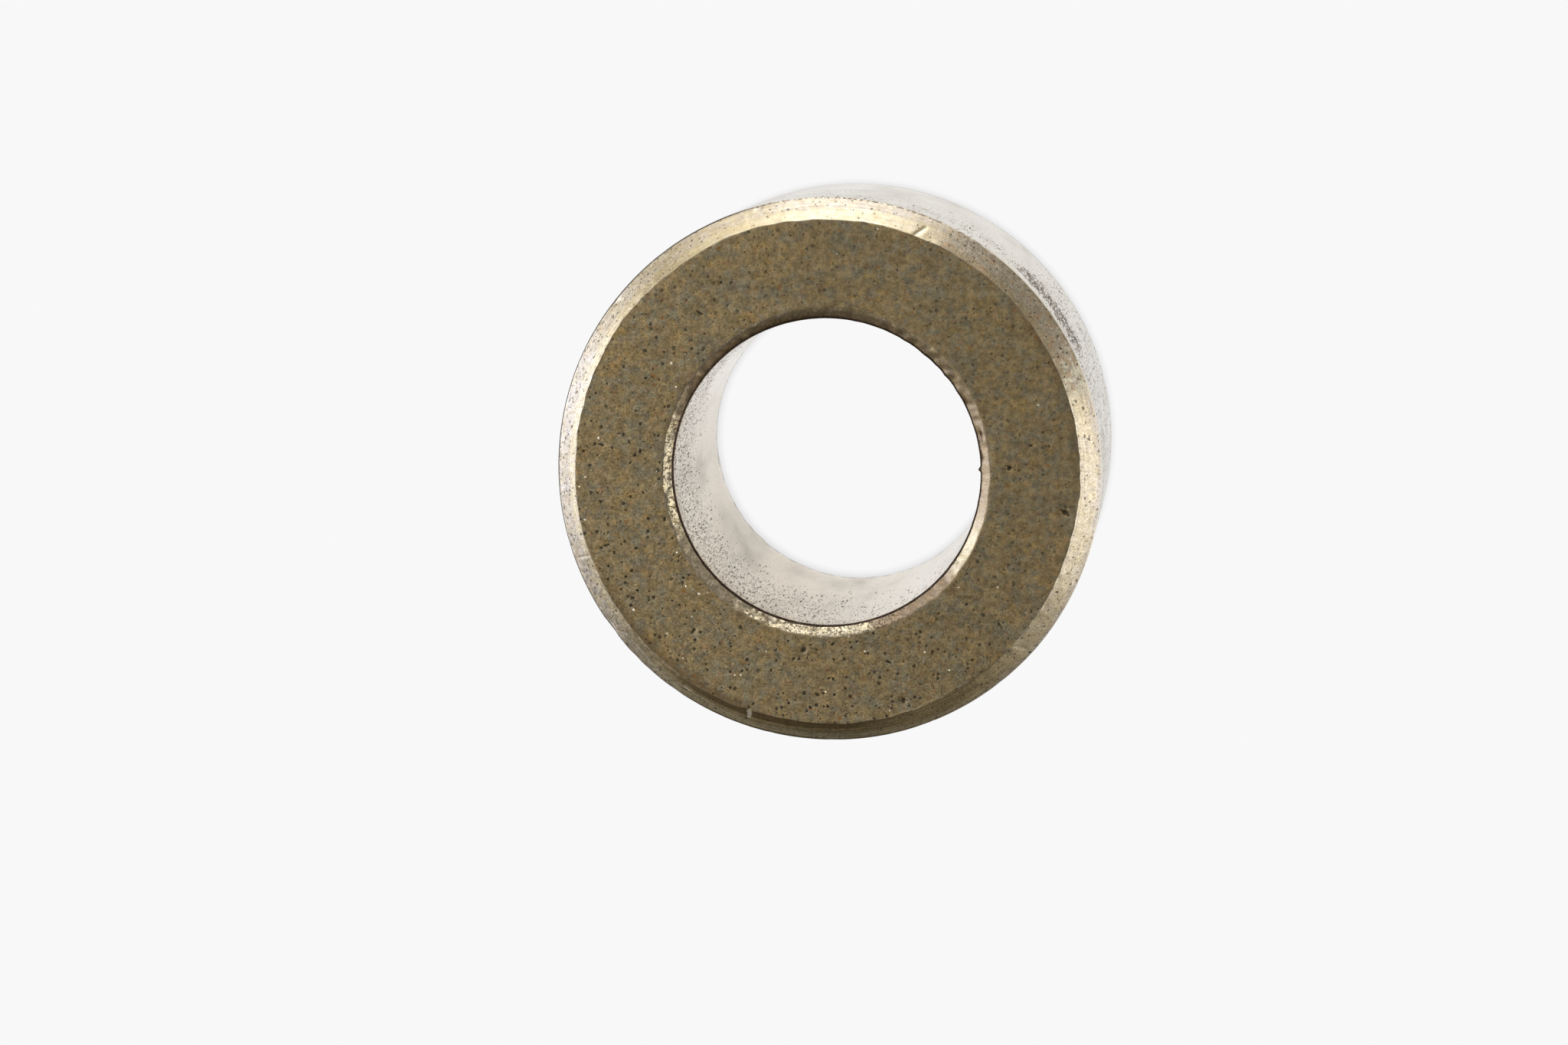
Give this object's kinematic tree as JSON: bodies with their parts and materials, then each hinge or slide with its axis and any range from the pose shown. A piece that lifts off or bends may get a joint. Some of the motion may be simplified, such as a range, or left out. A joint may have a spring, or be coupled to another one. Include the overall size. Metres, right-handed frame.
{
  "type": "plain sleeve bushing",
  "caption": "Plain cylindrical sleeve bushing in porous sintered bronze, with a straight through bore and chamfered ends, for a shaft to turn in.",
  "frame": {"origin": "centre of the lower end face, where the bore axis meets it", "axes": "+Z along the bore axis, from the lower end face to the upper one; the ends are alike, and X and Y are any two directions across the axis"},
  "size_m": [0.0254, 0.0254, 0.0159],
  "materials": {
    "sintered_bronze": "matt sintered bronze with open pores; burnished on the chamfers, the bore and the outside"
  },
  "bodies": {
    "root": {"bushing_sleeve": "sintered_bronze"}
  },
  "joints": []
}
